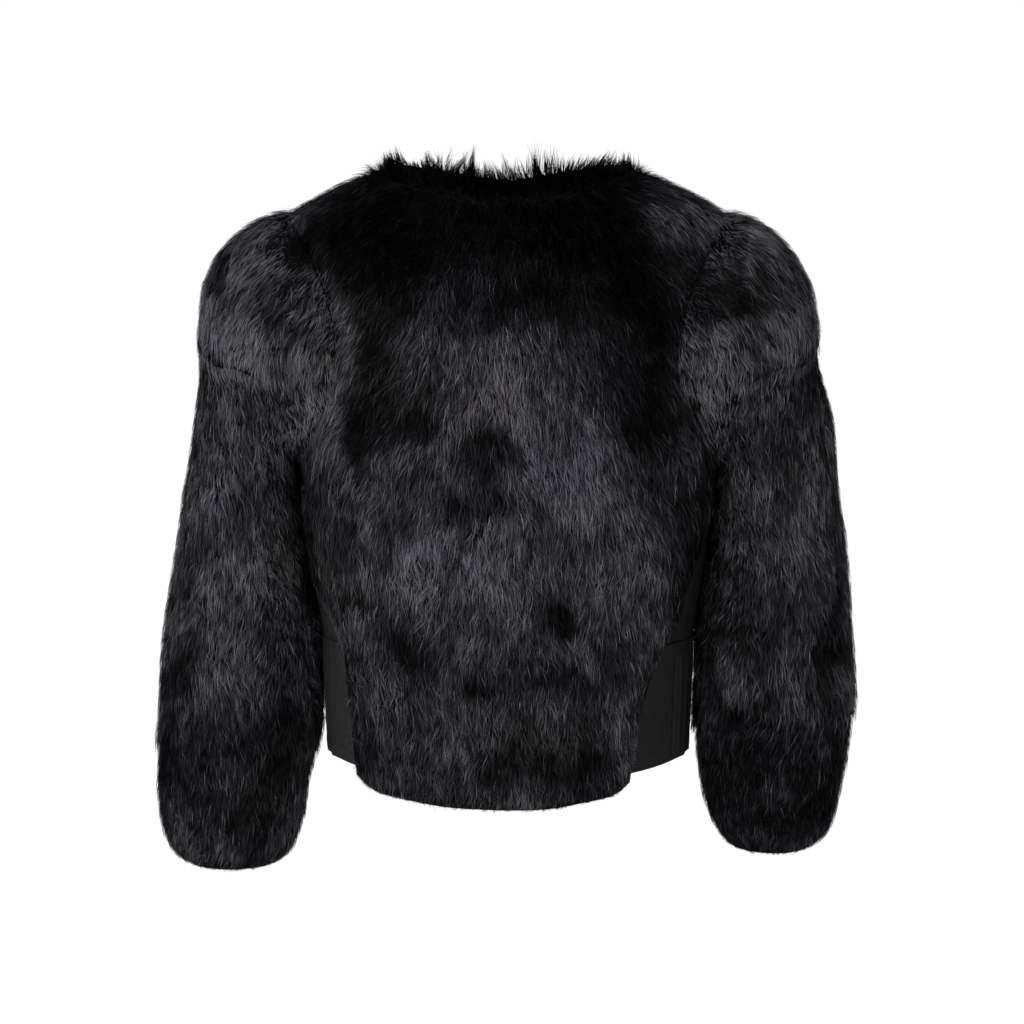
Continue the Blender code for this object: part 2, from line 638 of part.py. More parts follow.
def add_sleeve_piece(name, side, start, end, rows, lip, seams):
    """A stretch of sleeve between two seams, given as the ring where each point starts and ends.

    Its hair stands out by lip where it ends over the next piece.
    """
    outer, inner = [], []
    for along in evenly(0.0, 1.0, rows):
        pairs = []
        for number in range(RING_POINTS):
            length = end[number] - start[number]
            ring = start[number] + length * along
            stand = lip * along**3 * ease(length / 2.0)
            pairs.append(sleeve_wall(number, ring, side, stand))
        outer.append([pair[0] for pair in pairs])
        inner.append([pair[1] for pair in pairs])
    outer, inner = (pull_rows(grid, *seams) for grid in (outer, inner))
    add_wall(name, outer, inner, True, fur())


def add_sleeve(hand, side):
    armhole = [0.0] * RING_POINTS
    cap = [cap_end(number) for number in range(RING_POINTS)]
    cuff = [CUFF_RING_LEFT if side < 0 else CUFF_RING_RIGHT] * RING_POINTS
    rim = [len(SLEEVE)] * RING_POINTS
    add_sleeve_piece(f"sleeve_cap_{hand}", side, armhole, cap, CAP_ROWS, CAP_LIP, (True, True))
    add_sleeve_piece(f"sleeve_{hand}", side, cap, cuff, SLEEVE_ROWS, SLEEVE_LIP, (True, True))
    add_sleeve_piece(f"cuff_{hand}", side, cuff, rim, CUFF_ROWS, 0.0, (True, False))


def start_scene():
    for old in list(bpy.data.objects):
        bpy.data.objects.remove(old)
    collection = bpy.data.collections.new("fur_jacket")
    bpy.context.scene.collection.children.link(collection)


def main():
    start_scene()
    add_back()
    for hand, side in (("left", -1), ("right", 1)):
        add_front(f"front_{hand}", side)
        add_side_upper(f"side_upper_{hand}", side)
        add_side_lower(f"side_lower_{hand}", side)
        add_sleeve(hand, side)


main()
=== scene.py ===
"""Looks of the faux fur jacket: undercoat walls, strands of pile laid in locks, and woven side panels.

Lengths are metres unless a name says otherwise. -Y is the jacket's back and -X the wearer's left.
"""

import math

import bpy
import numpy as np
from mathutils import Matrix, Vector
from mathutils.bvhtree import BVHTree
from mathutils.kdtree import KDTree


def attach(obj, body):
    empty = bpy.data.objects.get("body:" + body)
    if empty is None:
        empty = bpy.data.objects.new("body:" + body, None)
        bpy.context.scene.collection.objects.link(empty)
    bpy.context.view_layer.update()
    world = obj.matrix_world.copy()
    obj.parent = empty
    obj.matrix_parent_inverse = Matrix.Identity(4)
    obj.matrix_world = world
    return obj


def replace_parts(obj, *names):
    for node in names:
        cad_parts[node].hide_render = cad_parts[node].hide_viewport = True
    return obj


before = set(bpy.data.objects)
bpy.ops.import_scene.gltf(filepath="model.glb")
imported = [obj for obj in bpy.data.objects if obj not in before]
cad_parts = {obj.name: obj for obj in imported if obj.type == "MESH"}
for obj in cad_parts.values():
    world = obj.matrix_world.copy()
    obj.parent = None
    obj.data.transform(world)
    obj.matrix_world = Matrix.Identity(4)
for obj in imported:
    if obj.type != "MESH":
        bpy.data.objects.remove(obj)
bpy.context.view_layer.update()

SEED = 20
MM = 0.001

# ---- pile ----
LONG_STRANDS = 105000  # in all, shared out by area; each bends once
SHORT_STRANDS = 510000  # straight ones between them
PIECE_TRIANGLES = 190000
LONG_WIDTH = 0.48 * MM
SHORT_WIDTH = 0.52 * MM
SHORT_LENGTH = 0.68  # of a long strand
UNDERCOAT = 0.20  # how deep in the wall the undercoat lies, from the hair's ends
NECK_UNDERCOAT = 0.72  # how much of the rise past the neck edge the undercoat has
ROOT_DEPTH = 0.8 * MM  # how far a strand starts inside the undercoat
FULL_LENGTH_DEPTH = 2.6 * MM  # where the pile is less deep than this, its hair is shorter
THINNEST_LENGTH = 0.55  # down to this share of its length
PAST_EDGE = 1.6 * MM  # how far tips may stand out of the solids
SUNK = 2.6 * MM  # how deep tips may lie in them
SEAM_GAP = 1.3 * MM  # a rim closer than this to another piece is sewn to it
SEAM_BLEND = 14.0 * MM  # neighbouring pieces' surfaces are taken together this close to a seam

LOCK_AREA = 0.6e-4  # of the surface to one lock of hair, in square metres
LOCK_PULL = 0.18  # how far a strand's tip is drawn to its lock's
NECK_LOCK_PULL = 0.85  # the same at the neck edge
LOCK_TURN = 9.0  # how far locks turn from the way the fur lies, in degrees
NECK_LOCK_TURN = 14.0  # how much more they do at the neck edge
CLOTH_LOCK_TURN = 20.0  # and beside a cloth panel
STRAND_TURN = 11.0  # how far single strands turn from their lock
STRAND_ROLL = 28.0  # and about their own length
BESIDE_CLOTH, BESIDE_CLOTH_FADE = 22.0 * MM, 12.0 * MM
TURN_WIDE, TURN_FINE = 9.0, 7.0  # degrees that the swirls turn the hair
RIDGE_HALF = 0.02  # the shoulders' ridge, over which the hair parts
RIDGE_LEAN = 0.8  # how strongly it does

# How far locks differ, and the range of single strands, as shares of what is usual.
LOCK_LENGTHS, NECK_LOCK_LENGTHS, LOCK_RISES = 0.14, 0.30, 0.10
STRAND_LENGTHS = (0.75, 1.15)
STRAND_RISES = (0.75, 1.08)
STRAND_PULLS = (0.5, 1.2)
STRAND_PASTS = (0.4, 1.7)
STRAND_WIDTHS = (0.7, 1.3)
BEND_RISE, BEND_ALONG = 0.85, 0.40  # where a long strand bends, as shares of its rise and its length
BEND_WIDTH = 0.9  # and how wide it still is there

UNDERARM_FLUFF = 4.0 * MM  # how much further the hair stands out where a sleeve faces the body
UNDERARM_RISE = 0.10  # how far the undercoat stands out of the wall there, as a share of the wall
UNDERARM_END, UNDERARM_FADE = -0.465, 0.050  # below this height the sleeve hangs free of the body

GUARD_SHARE = 0.05  # of the strands are guard hairs
GUARD_LENGTH = 0.25  # and are this much longer
GUARD_RISE = 1.0 * MM  # stand out this much further
GUARD_PAST = 0.8  # may stand out of the solids by this share more
GUARD_THINNER = 0.35
GUARD_PULL = 0.7  # and are drawn to their lock by this share less

STRAND_CONTRAST = 0.15  # how far single strands differ in shade, partly their own shades and partly painted glints of light on single hairs
LOCK_CONTRAST = 0.05
ROOT_PAINTED_SHADE, TIP_SHADE = -0.30, 0.05  # how much lighter than its middle a strand is there: the root darker, painted shade deep in the pile, the tip a little lighter
NECK_PAINTED_SHADE, GUARD_SHADE = -0.20, 0.05  # and how much lighter whole strands are: darker at the neck, painted shade where the hair stands up there; guard hairs a little lighter
HUE = 0.45  # the middle tint, from cool to warm
HUE_PATCHES, HUE_STRANDS = 0.16, 0.17  # how far patches and single strands differ from it
UV_BAND = 0.004  # half the width that a strand takes up across the tints
SHADE_AT = 0.6  # a strand has the shade of the place this share of its pile's length further on
# The mottle: partly the fur's own uneven tone, partly painted highlight and shade where locks meet the light
# differently.
MOTTLE_WIDE, MOTTLE_MIDDLE, MOTTLE_FINE = 0.06, 0.09, 0.06
PATCH_EDGE = 1.8  # the higher, the sharper a patch's edge
WARP_WIDE_REACH, WARP_FINE_REACH = 8.0 * MM, 4.0 * MM  # how ragged a patch's edge is
SIDES_BLEND = 0.020  # the back's patches pass into the front's over twice this distance

# The hair's lean outwards from straight down, in degrees: everywhere, and what is added up to the shoulders,
# with the depth below the neck at which it starts and the height over which it grows.
SLEEVE_LEAN, SLEEVE_ADDED = 4.0, ((42.0, 0.22, 0.15),)
BODY_LEAN, BODY_ADDED = 3.0, ((26.0, 0.36, 0.18), (18.0, 0.12, 0.09))
MIDDLE_HALF, MIDDLE_FADE = 0.03, 0.10  # it hangs straight down along the middle of the body

# Length of the hair and how light it is, by node.
PILE = {
    "back": (18.0 * MM, 0.63),
    "front_left": (18.0 * MM, 0.58),
    "front_right": (18.0 * MM, 0.58),
    "sleeve_cap_left": (19.0 * MM, 0.69),
    "sleeve_cap_right": (19.0 * MM, 0.75),
    "sleeve_left": (18.0 * MM, 0.62),
    "sleeve_right": (18.0 * MM, 0.65),
    "cuff_left": (16.0 * MM, 0.52),
    "cuff_right": (16.0 * MM, 0.50),
}

CLOTH = ("side_upper_left", "side_upper_right", "side_lower_left", "side_lower_right")

# Patches of painted light and shade on the fur, seen from behind: painted highlight where the hair faces the
# light, painted shade where it parts, round the neck and under the sleeve caps. Centre (x, z) and radii (x,
# z) in mm, how far the patch is turned in degrees, and how lighter it is.
BACK_LIGHT_AND_SHADE_PATCHES = (
    (0.0, -13.0, 150.0, 62.0, 0.0, -0.56),
    (-71.0, -68.0, 86.0, 50.0, 0.0, -0.22),
    (83.0, -72.0, 100.0, 52.0, 0.0, -0.36),
    (122.0, -165.0, 38.0, 70.0, 0.0, -0.32),
    (108.0, -72.0, 36.0, 54.0, 0.0, -0.30),
    (-112.0, -84.0, 42.0, 46.0, 0.0, -0.42),
    (26.0, -116.0, 96.0, 24.0, 0.0, -0.24),
    (133.0, -220.0, 31.0, 29.0, 0.0, -0.20),
    (93.0, -142.0, 54.0, 24.0, 0.0, -0.18),
    (-123.0, -178.0, 20.0, 60.0, -8.0, -0.36),
    (-123.0, -229.0, 25.0, 20.0, 0.0, -0.30),
    (-75.0, -215.0, 22.0, 20.0, 0.0, -0.32),
    (-13.0, -247.0, 25.0, 25.0, 0.0, -0.34),
    (-93.0, -192.0, 15.0, 12.0, 0.0, 0.14),
    (-62.0, -146.0, 54.0, 27.0, 0.0, -0.06),
    (-51.0, -295.0, 18.0, 15.0, -30.0, -0.30),
    (-16.0, -295.0, 13.0, 16.0, 0.0, -0.26),
    (44.0, -396.0, 22.0, 10.0, -20.0, -0.50),
    (-141.0, -385.0, 13.0, 16.0, 30.0, -0.46),
    (-93.0, -433.0, 22.0, 31.0, 35.0, -0.44),
    (-19.0, -453.0, 15.0, 14.0, 0.0, -0.34),
    (34.0, -453.0, 18.0, 12.0, 0.0, -0.30),
    (20.0, -536.0, 68.0, 22.0, 0.0, -0.28),
    (-171.0, -183.0, 13.0, 11.0, 0.0, -0.16),
    (-148.0, -45.0, 45.0, 33.0, 30.0, -0.24),
    (74.0, -330.0, 24.0, 11.0, 20.0, -0.08),
    (-180.0, -192.0, 31.0, 42.0, -30.0, 0.10),
    (6.0, -163.0, 33.0, 31.0, 0.0, -0.04),
    (61.0, -266.0, 60.0, 73.0, 0.0, 0.14),
    (-62.0, -348.0, 100.0, 54.0, 0.0, 0.10),
    (165.0, -28.0, 38.0, 34.0, 35.0, 0.22),
    (-180.0, -345.0, 9.0, 60.0, 0.0, -0.20),
    (151.0, -352.0, 16.0, 44.0, 0.0, -0.20),
    (174.0, -330.0, 18.0, 80.0, 0.0, -0.22),
    (0.0, -505.0, 170.0, 70.0, 0.0, -0.05),
    (118.0, -448.0, 22.0, 36.0, 0.0, -0.14),
    (-105.0, -515.0, 40.0, 26.0, 0.0, 0.12),
    (199.0, -110.0, 54.0, 24.0, 20.0, -0.38),
    (190.0, -60.0, 30.0, 18.0, 0.0, 0.14),
    (193.0, -179.0, 26.0, 48.0, 0.0, 0.14),
    (193.0, -273.0, 15.0, 39.0, 0.0, -0.30),
    (250.0, -246.0, 17.0, 28.0, 30.0, -0.14),
    (295.0, -428.0, 19.0, 45.0, 0.0, -0.22),
    (314.0, -475.0, 14.0, 84.0, 0.0, -0.24),
    (262.0, -348.0, 46.0, 84.0, 0.0, 0.05),
    (248.0, -570.0, 84.0, 60.0, 0.0, -0.16),
    (202.0, -512.0, 37.0, 22.0, 0.0, -0.12),
    (-247.0, -68.0, 41.0, 32.0, -40.0, 0.12),
    (-263.0, -89.0, 13.0, 20.0, 0.0, -0.24),
    (-256.0, -150.0, 41.0, 32.0, 0.0, 0.08),
    (-203.0, -127.0, 13.0, 13.0, 0.0, -0.20),
    (-263.0, -291.0, 51.0, 139.0, 0.0, 0.10),
    (-198.0, -273.0, 12.0, 39.0, 0.0, -0.26),
    (-312.0, -490.0, 17.0, 70.0, 0.0, -0.32),
    (-235.0, -462.0, 20.0, 36.0, 0.0, -0.20),
    (-272.0, -423.0, 37.0, 65.0, 0.0, 0.08),
    (-229.0, -538.0, 43.0, 37.0, 0.0, -0.30),
    (-207.0, -385.0, 20.0, 84.0, 8.0, -0.06),
)
# The same for the front.
FRONT_LIGHT_AND_SHADE_PATCHES = (
    (0.0, -110.0, 120.0, 50.0, 0.0, -0.28),
    (60.0, -205.0, 30.0, 40.0, 10.0, -0.20),
    (-70.0, -260.0, 34.0, 26.0, -20.0, -0.22),
    (40.0, -330.0, 28.0, 18.0, 30.0, -0.20),
    (-30.0, -420.0, 30.0, 24.0, 0.0, -0.22),
    (90.0, -470.0, 24.0, 18.0, 0.0, -0.18),
    (-110.0, -180.0, 26.0, 50.0, 0.0, -0.16),
    (-250.0, -330.0, 40.0, 110.0, 0.0, 0.06),
    (250.0, -330.0, 40.0, 110.0, 0.0, 0.05),
    (-240.0, -560.0, 80.0, 50.0, 0.0, -0.10),
    (240.0, -560.0, 80.0, 50.0, 0.0, -0.10),
)

# The neck edge is an oval, level at the shoulders and lower at the back and the front.
NECK_RADII = (0.105, 0.0755)
NECK_TOP, NECK_BACK_DROP, NECK_FRONT_DROP = -0.001, 0.013, 0.071
NECK_OUT, NECK_OUT_FADE = 1.30, 0.16  # how far out the hair there still stands up, in the oval's radii
NECK_DOWN, NECK_DOWN_FADE = 0.016, 0.020  # and how far below the edge
NECK_WALL = 1.25  # within this many radii the undercoat is taken down to the edge
NECK_LENGTH = 9.0 * MM  # of the hair that stands up there, past the tufts' own reach
NECK_SHORTEST = 4.0 * MM
NECK_RISE = 2.5 * MM  # how far its tips stand out from their roots
NECK_PAST_EDGE = 6.0 * MM  # how far tips may stand out of the solids, past the tufts' own reach
NECK_LEAN = 0.30  # outwards, for each unit upwards
NECK_SPREAD = 0.45  # sideways, the same

# How far the tufts reach past the top of the neck's solid fur at the back: x and reach, in mm.
NECK_TUFTS = (
    (-155.0, -2.0),
    (-133.0, 1.0),
    (-122.0, 3.0),
    (-111.0, 2.0),
    (-101.0, 13.0),
    (-92.0, 0.0),
    (-80.0, 2.0),
    (-67.0, 15.0),
    (-44.0, 17.0),
    (-30.0, 17.0),
    (-14.0, 7.0),
    (0.0, 15.0),
    (22.0, 21.0),
    (34.0, 25.0),
    (48.0, 12.0),
    (66.0, 3.0),
    (78.0, 12.0),
    (95.0, 1.0),
    (111.0, -6.0),
    (122.0, 2.0),
    (140.0, -1.0),
    (155.0, -2.0),
)
FRONT_TUFTS = 5.0  # the same for the front

# Soft creases of the cloth panels: angle round the body from the centre back, top and bottom z, half width
# and height in mm, a trough's being below 0, and how far the crease wanders, in degrees of that angle.
CREASES = {
    "side_lower_right": (
        (56.0, -446.0, -540.0, 5.0, 0.6, 3.0),
        (69.8, -434.0, -553.0, 1.8, -1.4, 0.3),
        (72.5, -436.0, -552.0, 1.6, 1.1, 0.6),
        (75.3, -434.0, -553.0, 1.6, -1.3, 0.4),
        (88.0, -440.0, -545.0, 2.6, 0.8, 1.5),
        (101.0, -436.0, -550.0, 2.0, -1.1, -1.0),
        (114.0, -442.0, -548.0, 2.8, 0.8, 1.2),
    ),
    "side_lower_left": (
        (57.0, -440.0, -548.0, 4.6, -0.6, 2.0),
        (66.0, -436.0, -540.0, 3.0, 0.7, -1.5),
        (78.0, -438.0, -550.0, 2.2, -0.9, 1.0),
        (92.0, -436.0, -546.0, 3.0, 0.7, 1.4),
        (108.0, -440.0, -548.0, 2.4, -0.8, -1.2),
        (121.0, -442.0, -544.0, 3.0, 0.6, 1.0),
    ),
    "side_upper_right": (
        (72.0, -300.0, -425.0, 3.4, -0.7, 6.0),
        (88.0, -310.0, -426.0, 3.0, 0.6, -5.0),
        (102.0, -330.0, -427.0, 2.6, -0.7, -4.0),
    ),
    "side_upper_left": (
        (76.0, -305.0, -424.0, 3.2, -0.6, 5.0),
        (90.0, -320.0, -426.0, 3.0, 0.6, -4.0),
        (104.0, -326.0, -427.0, 2.8, -0.6, -5.0),
    ),
}
CREASE_FADE = 14.0  # a crease dies out over this length at each end
RIM_FADE = 5.0  # and over this distance from the panel's edges
CREASE_SWAY = 2.6  # how much of a wave a crease's wandering is, in radians
CLOTH_CUTS, QUICK_CLOTH_CUTS = 3, 2  # how often each triangle of the cloth is cut into four
SMOOTHING = 40  # rounds that take the solid's facets out of the cloth
CLOTH_SHARP = 50.0  # degrees between faces that leave an edge of the cloth sharp
LOWER_PANEL = 0.105  # a lower panel's hem lies further than this below its top
HEM_STITCHES = 12.5  # from the hem's edge to its stitches
HEM_LIFT = 0.45  # how far the turned hem stands out
HEM_STEP = 2.0  # the height over which it comes to do so
STITCH_DIP = 1.2  # half the width of the dip along the stitches
STITCH = 3.8  # from one stitch to the next
STITCH_LENGTH = 2.9
THREAD = 0.30  # half a thread's thickness
THREAD_SIDES = 5
# Rings of a stitch: place along it, and thickness, as shares of its length and of the thread's.
STITCH_RINGS = ((-0.5, 0.35), (-0.3, 0.9), (0.0, 1.0), (0.3, 0.9), (0.5, 0.35))
SEATS_FROM_ENDS = 1.5  # degrees round the body that the hem's stitches keep from its ends

# A triangle belongs to a wall's outer or inner side when it faces away from, or to, the middle by this much.
SIDE_FACING = 0.32
# The body's middle is a narrow block; the sleeve's is a line, here the one on the wearer's right, in mm.
BODY_MIDDLE = ((-0.04, 0.0, -0.60), (0.04, 0.0, -0.08))
SLEEVE_LINE = (
    (205.0, -3.0, -147.0),
    (240.0, 1.0, -179.0),
    (247.0, 3.0, -221.0),
    (251.0, 8.0, -334.0),
    (252.0, 12.0, -427.0),
    (258.0, 18.0, -520.0),
    (262.0, 22.0, -600.0),
    (262.0, 23.0, -645.0),
)


# ---- small numpy helpers ----
def unit(v):
    return v / np.maximum(np.linalg.norm(v, axis=-1, keepdims=True), 1e-12)


def dot(a, b):
    return (a * b).sum(-1, keepdims=True)


def ease(x):
    t = np.clip(x, 0.0, 1.0)
    return t * t * (3.0 - 2.0 * t)


class Field:
    """A smooth random field over space, about -1 to 1, made of waves with seeded directions."""

    def __init__(self, seed, size, waves=10):
        rng = np.random.default_rng(seed)
        self.ways = unit(rng.normal(size=(waves, 3))) * rng.uniform(0.5, 1.5, (waves, 1)) * 2.2 / size
        self.starts = rng.uniform(0.0, 2.0 * math.pi, waves)

    def __call__(self, points):
        waves = np.sin(points @ self.ways.T + self.starts)
        return waves.sum(1, keepdims=True) / math.sqrt(len(self.starts))


SWIRL_WIDE = Field(3, 0.080)
SWIRL_FINE = Field(4, 0.026)
TONE_WIDE = Field(5, 0.050)
TONE_MIDDLE = Field(6, 0.020)
TONE_FINE = Field(8, 0.008)
WARP_WIDE = [Field(seed, 0.034) for seed in (12, 13, 14)]
WARP_FINE = [Field(seed, 0.010) for seed in (15, 16, 17)]
LIFT_FIELD = Field(7, 0.024)
HUE_FIELD = Field(9, 0.045)
NECK_SWAY = Field(11, 0.016)


# ---- reading the frame ----
def read_node(name):
    """Welded points and triangles of a CAD node."""
    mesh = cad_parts[name].data
    mesh.calc_loop_triangles()
    at = np.empty(len(mesh.vertices) * 3, np.float32)
    mesh.vertices.foreach_get("co", at)
    at = at.reshape(-1, 3).astype(float)
    tris = np.empty(len(mesh.loop_triangles) * 3, np.int32)
    mesh.loop_triangles.foreach_get("vertices", tris)
    near = np.round(at / 2e-6).astype(np.int64)
    _, first, index = np.unique(near, axis=0, return_index=True, return_inverse=True)
    tris = index.reshape(-1)[tris].reshape(-1, 3)
    whole = (tris[:, 0] != tris[:, 1]) & (tris[:, 1] != tris[:, 2]) & (tris[:, 2] != tris[:, 0])
    return at[first], tris[whole]


def tree_of(points, tris):
    return BVHTree.FromPolygons([tuple(p) for p in points], [tuple(int(i) for i in t) for t in tris])


def points_tree(points):
    tree = KDTree(len(points))
    for number, place in enumerate(points):
        tree.insert(place, number)
    tree.balance()
    return tree


def nearest(tree, points):
    """The nearest place of a surface to each point, the surface's normal there, and how far it is."""
    found = [tree.find_nearest(p) for p in points]
    return (np.array([f[i] for f in found]) for i in (0, 1, 3))


def middle_of(points, name):
    """The nearest point of the garment part's middle line or plane."""
    if not on_sleeve(name):
        return np.clip(points, *BODY_MIDDLE)
    side = -1.0 if "left" in name else 1.0
    line = np.array(SLEEVE_LINE) * MM * (side, 1.0, 1.0)
    best = np.full(len(points), np.inf)
    middle = np.zeros_like(points)
    for a, b in zip(line, line[1:]):
        share = np.clip(((points - a) @ (b - a)) / ((b - a) @ (b - a)), 0.0, 1.0)[:, None]
        there = a + (b - a) * share
        far = np.linalg.norm(points - there, axis=1)
        closer = far < best
        best = np.where(closer, far, best)
        middle = np.where(closer[:, None], there, middle)
    return middle


def on_sleeve(name):
    return "sleeve" in name or "cuff" in name


def faces_body(points, normals, name):
    """1 on the side of a sleeve that faces the body, down to where it hangs free of the body, 0 elsewhere."""
    if not on_sleeve(name):
        return np.zeros((len(points), 1))
    inwards = -normals[:, :1] * np.sign(points[:, :1])
    return ease((inwards + 0.02) / 0.8) * ease((points[:, 2:] - UNDERARM_END) / UNDERARM_FADE)


class Wall:
    """A panel's wall, sorted into its outer side, its inner side and its free edges."""

    def __init__(self, name, others):
        self.name = name
        self.points, self.tris = read_node(name)
        corners = self.points[self.tris]
        cross = np.cross(corners[:, 1] - corners[:, 0], corners[:, 2] - corners[:, 0])
        self.areas = np.linalg.norm(cross, axis=1) / 2.0
        centres = corners.mean(1)
        facing = dot(unit(cross), unit(centres - middle_of(centres, name)))[:, 0]
        self.outer, self.inner = facing > SIDE_FACING, facing < -SIDE_FACING
        rim = ~self.outer & ~self.inner
        seam = np.zeros(len(rim), bool)
        _, _, far = nearest(others, centres[rim])
        seam[rim] = far < SEAM_GAP
        self.grown = self.outer | (rim & ~seam)
        self.normals = np.zeros_like(self.points)
        for corner in range(3):
            np.add.at(self.normals, self.tris[self.grown][:, corner], cross[self.grown])
        self.normals = unit(self.normals)
        self.centres, self.crosses = centres[self.grown], cross[self.grown]

    def blend_normals(self, tree, crosses):
        """Takes the neighbouring pieces' surfaces into the normals, so that hair runs on over the seams."""
        for i in np.unique(self.tris[self.grown]):
            near = crosses[[n for _, n, _ in tree.find_range(self.points[i], SEAM_BLEND)]]
            alike = near @ self.normals[i] > 0.2 * np.linalg.norm(near, axis=1)
            if alike.any():
                self.normals[i] = unit(near[alike].sum(0))

    def undercoat(self):
        """The wall's points with its outer side drawn in, except where a sleeve faces the body."""
        skin, _, _ = nearest(tree_of(self.points, self.tris[self.inner]), self.points)
        on_outer = np.zeros(len(self.points), bool)
        on_outer[self.tris[self.outer].ravel()] = True
        depth = np.full((len(self.points), 1), UNDERCOAT)
        depth = depth - (UNDERCOAT + UNDERARM_RISE) * faces_body(self.points, self.normals, self.name)
        drawn = np.where(on_outer[:, None], self.points + (skin - self.points) * depth, self.points)
        if not on_sleeve(self.name):
            away, edge = neck_edge(drawn)
            rise = np.where(away < NECK_WALL, np.maximum(drawn[:, 2] - edge, 0.0), 0.0)
            drawn[:, 2] -= rise * (1.0 - NECK_UNDERCOAT)
        return drawn


def all_solids():
    """Points, triangles and the node of each triangle, of the whole jacket."""
    points, tris, owners, start = [], [], [], 0
    for number, name in enumerate((*PILE, *CLOTH)):
        p, t = read_node(name)
        points.append(p)
        tris.append(t + start)
        owners.append(np.full(len(t), number))
        start += len(p)
    return np.concatenate(points), np.concatenate(tris), np.concatenate(owners)


# ---- meshes from arrays ----
def mesh_object(name, points, tris, materials, smooth=True):
    mesh = bpy.data.meshes.new(name)
    mesh.vertices.add(len(points))
    mesh.vertices.foreach_set("co", np.asarray(points, np.float32).ravel())
    mesh.loops.add(tris.size)
    mesh.loops.foreach_set("vertex_index", tris.astype(np.int32).ravel())
    mesh.polygons.add(len(tris))
    mesh.polygons.foreach_set("loop_start", np.arange(0, tris.size, tris.shape[1], dtype=np.int32))
    mesh.update(calc_edges=True)
    mesh.polygons.foreach_set("use_smooth", np.full(len(tris), smooth))
    for material in materials:
        mesh.materials.append(material)
    made = bpy.data.objects.new(name, mesh)
    bpy.context.scene.collection.objects.link(made)
    return made


def show(piece):
    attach(piece, "root")
    return piece


# ---- materials ----
def material_with_nodes(name, roughness, specular):
    material = bpy.data.materials.new(name)
    material.use_nodes = True
    nodes = material.node_tree.nodes
    shader = nodes["Principled BSDF"]
    shader.inputs["Roughness"].default_value = roughness
    shader.inputs["Specular IOR Level"].default_value = specular
    return material, nodes, material.node_tree.links, shader


def set_ramp(node, stops):
    ramp = node.color_ramp
    for element, (place, colour) in zip(list(ramp.elements), (stops[0], stops[-1])):
        element.position, element.color = place, (*colour, 1.0)
    for place, colour in stops[1:-1]:
        ramp.elements.new(place).color = (*colour, 1.0)


def strand_material():
    """Hair with no specular sheen, whose shade runs along U, from black to grey, painted highlight and shade
    included, and whose tint runs along V, cool to warm.
    """
    material, nodes, links, shader = material_with_nodes("fur_strands", 0.5, 0.0)
    where = nodes.new("ShaderNodeUVMap")
    where.uv_map = "OFBake"
    parts = nodes.new("ShaderNodeSeparateXYZ")
    links.new(where.outputs["UV"], parts.inputs[0])
    shades, tints = nodes.new("ShaderNodeValToRGB"), nodes.new("ShaderNodeValToRGB")
    set_ramp(
        shades,
        (
            (0.0, (0.0005, 0.0005, 0.0005)),
            (0.25, (0.0035, 0.0035, 0.0035)),
            (0.5, (0.0150, 0.0150, 0.0150)),
            (0.75, (0.0500, 0.0500, 0.0500)),
            (1.0, (0.1500, 0.1500, 0.1500)),
        ),
    )
    set_ramp(tints, ((0.0, (0.90, 0.95, 1.18)), (0.5, (0.97, 0.96, 1.08)), (1.0, (1.12, 0.95, 0.97))))
    links.new(parts.outputs["X"], shades.inputs["Fac"])
    links.new(parts.outputs["Y"], tints.inputs["Fac"])
    tinted = nodes.new("ShaderNodeMix")
    tinted.data_type = "RGBA"
    tinted.blend_type = "MULTIPLY"
    tinted.inputs["Factor"].default_value = 1.0
    links.new(shades.outputs["Color"], tinted.inputs[6])
    links.new(tints.outputs["Color"], tinted.inputs[7])
    links.new(tinted.outputs[2], shader.inputs["Base Color"])
    return material


def undercoat_material():
    """The dense short hair under the pile: near black, in fine streaks that run down."""
    material, nodes, links, shader = material_with_nodes("fur_undercoat", 0.9, 0.0)
    place = nodes.new("ShaderNodeTexCoord")
    stretch = nodes.new("ShaderNodeMapping")
    stretch.inputs["Scale"].default_value = (1.0, 1.0, 0.08)
    links.new(place.outputs["Object"], stretch.inputs["Vector"])
    streaks = nodes.new("ShaderNodeTexNoise")
    streaks.inputs["Scale"].default_value = 1100.0
    streaks.inputs["Detail"].default_value = 3.0
    links.new(stretch.outputs["Vector"], streaks.inputs["Vector"])
    shades = nodes.new("ShaderNodeValToRGB")
    set_ramp(shades, ((0.38, (0.0008, 0.0008, 0.0009)), (0.70, (0.0080, 0.0076, 0.0086))))
    links.new(streaks.outputs["Fac"], shades.inputs["Fac"])
    links.new(shades.outputs["Color"], shader.inputs["Base Color"])
    bump = nodes.new("ShaderNodeBump")
    bump.inputs["Strength"].default_value = 0.8
    bump.inputs["Distance"].default_value = 0.0015
    links.new(streaks.outputs["Fac"], bump.inputs["Height"])
    links.new(bump.outputs["Normal"], shader.inputs["Normal"])
    return material


